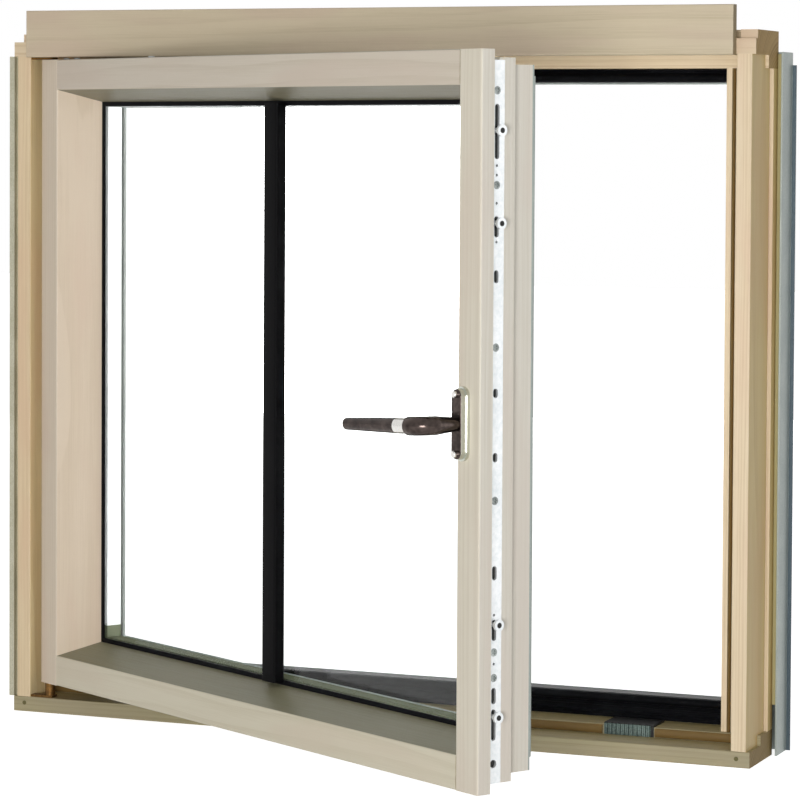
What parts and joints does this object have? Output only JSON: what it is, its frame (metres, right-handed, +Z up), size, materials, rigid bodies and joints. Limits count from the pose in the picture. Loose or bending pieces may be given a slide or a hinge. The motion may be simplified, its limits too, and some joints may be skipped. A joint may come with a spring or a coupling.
{
  "type": "side-hung timber roof window element",
  "caption": "Upright timber window element that stands under a sloping roof window, its side-hung sash open into the room, with lever handle and metal cladding outside.",
  "frame": {"origin": "middle of the underside of the timber sill, half way through the timber's depth", "axes": "+X along the sill towards the lock jamb, +Y through the wall to the outside, +Z up"},
  "size_m": [0.8002, 0.5213, 0.7155],
  "materials": {
    "frame_pine": "satin",
    "sash_pine": "satin",
    "black_rubber": "matte",
    "grey_aluminium": "satin",
    "clear_glass": "gloss",
    "zinc_steel": "satin",
    "handle_nickel": "gloss",
    "light_spacer": "matte"
  },
  "bodies": {
    "root": {"frame_sill": "frame_pine", "frame_head": "frame_pine", "frame_left_jamb": "frame_pine", "frame_right_jamb": "frame_pine", "head_cover_board": "frame_pine", "sash_left_stile": "sash_pine", "sash_right_stile": "sash_pine", "sash_top_rail": "sash_pine", "sash_bottom_rail": "sash_pine", "sill_weather_profile": "black_rubber", "head_weather_profile": "black_rubber", "left_weather_profile": "black_rubber", "right_weather_profile": "black_rubber", "glazing_gasket": "black_rubber", "sill_cladding": "grey_aluminium", "head_cladding": "grey_aluminium", "left_cladding": "grey_aluminium", "right_cladding": "grey_aluminium", "hinge_side_strip": "grey_aluminium", "sash_left_cover": "grey_aluminium", "sash_right_cover": "grey_aluminium", "sash_top_cover": "grey_aluminium", "sash_bottom_cover": "grey_aluminium", "inner_pane": "clear_glass", "outer_pane": "clear_glass", "lock_faceplate": "zinc_steel", "drive_rod": "zinc_steel", "locking_cams": "zinc_steel", "bottom_lock_plate": "zinc_steel", "stay_arm": "zinc_steel", "upper_pivot_bracket": "zinc_steel", "lower_pivot_bracket": "zinc_steel", "jamb_keepers": "zinc_steel", "sill_keeper": "zinc_steel", "handle_rose": "handle_nickel", "handle_neck": "handle_nickel", "handle_collar": "handle_nickel", "handle_grip": "handle_nickel", "rose_screws": "handle_nickel", "pane_spacer": "light_spacer"}
  },
  "joints": []
}
